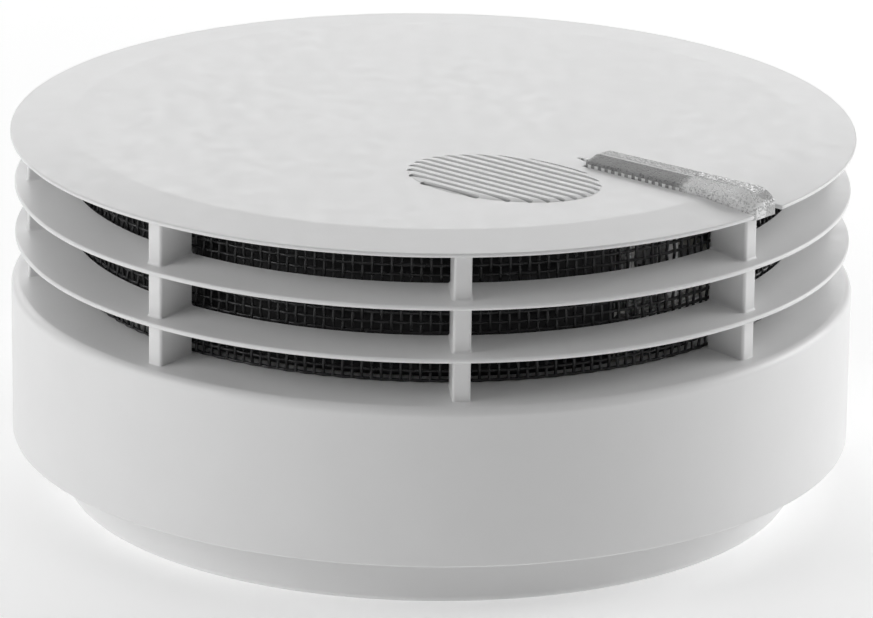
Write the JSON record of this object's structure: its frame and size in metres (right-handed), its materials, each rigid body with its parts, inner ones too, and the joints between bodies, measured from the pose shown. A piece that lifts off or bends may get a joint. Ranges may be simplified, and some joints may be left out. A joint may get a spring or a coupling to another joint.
{
  "type": "smoke detector",
  "caption": "Round ceiling smoke detector: louvred head with insect screen, oval sounder grille and clear test button, twisted on to a flat bayonet base plate.",
  "frame": {"origin": "middle of the base plate's flat ceiling face", "axes": "+Z out of the ceiling face towards the vented cover, -Y towards the front view, +X to its right"},
  "size_m": [0.125, 0.125, 0.0568],
  "materials": {
    "white_abs": "fine satin, light grey white",
    "black_mesh": "fine black woven mesh",
    "clear_acrylic": "clear, moulded texture on its inner part",
    "black_abs": "dull black",
    "battery_sleeve": "plain dark sleeve",
    "contact_brass": "bright",
    "board": "green solder mask",
    "dark_component": "dull",
    "winding": "enamelled copper",
    "zinc_steel": "zinc plated",
    "foam": "closed-cell foam",
    "emitter_epoxy": "tinted clear",
    "status_epoxy": "diffused red",
    "plunger_nylon": "plain"
  },
  "bodies": {
    "base": {"base_plate": "white_abs"},
    "head": {"outer_shell": "white_abs", "lower_louvre": "white_abs", "upper_louvre": "white_abs", "top_cover": "white_abs", "insect_screen": "black_mesh", "back_plate": "white_abs", "battery": "battery_sleeve", "contact_positive": "contact_brass", "contact_negative": "contact_brass", "circuit_board": "board", "microcontroller": "dark_component", "capacitor": "dark_component", "inductor": "winding", "assembly_screw_1": "zinc_steel", "assembly_screw_2": "zinc_steel", "assembly_screw_3": "zinc_steel", "sounder_housing": "white_abs", "piezo_disc": "contact_brass", "resonator_cap": "white_abs", "sounder_gasket": "foam", "piezo_spring_1": "zinc_steel", "piezo_spring_2": "zinc_steel", "chamber_base": "black_abs", "chamber_cover": "black_abs", "infrared_led": "emitter_epoxy", "photodiode": "dark_component", "button_spring": "zinc_steel", "switch_body": "dark_component", "status_led": "status_epoxy"},
    "button": {"test_button": "clear_acrylic"},
    "plunger": {"switch_plunger": "plunger_nylon"}
  },
  "joints": [
    {"name": "head_twist", "type": "hinge", "parent": "base", "child": "head", "pos_m": [0, 0, 0.0086], "axis": [0, 0, 1], "range_deg": [0, 24]},
    {"name": "button_press", "type": "slide", "parent": "head", "child": "button", "axis": [0, 0, -1], "range_m": [0, 0.0006], "stiffness_N_per_m": 600, "springref_m": -0.002, "deforming": ["button_spring"]},
    {"name": "plunger_press", "type": "slide", "parent": "head", "child": "plunger", "axis": [0, 0, -1], "range_m": [0, 0.0006]}
  ],
  "couplings": [
    {"joint": "plunger_press", "follows": "button_press", "ratio": 1}
  ]
}
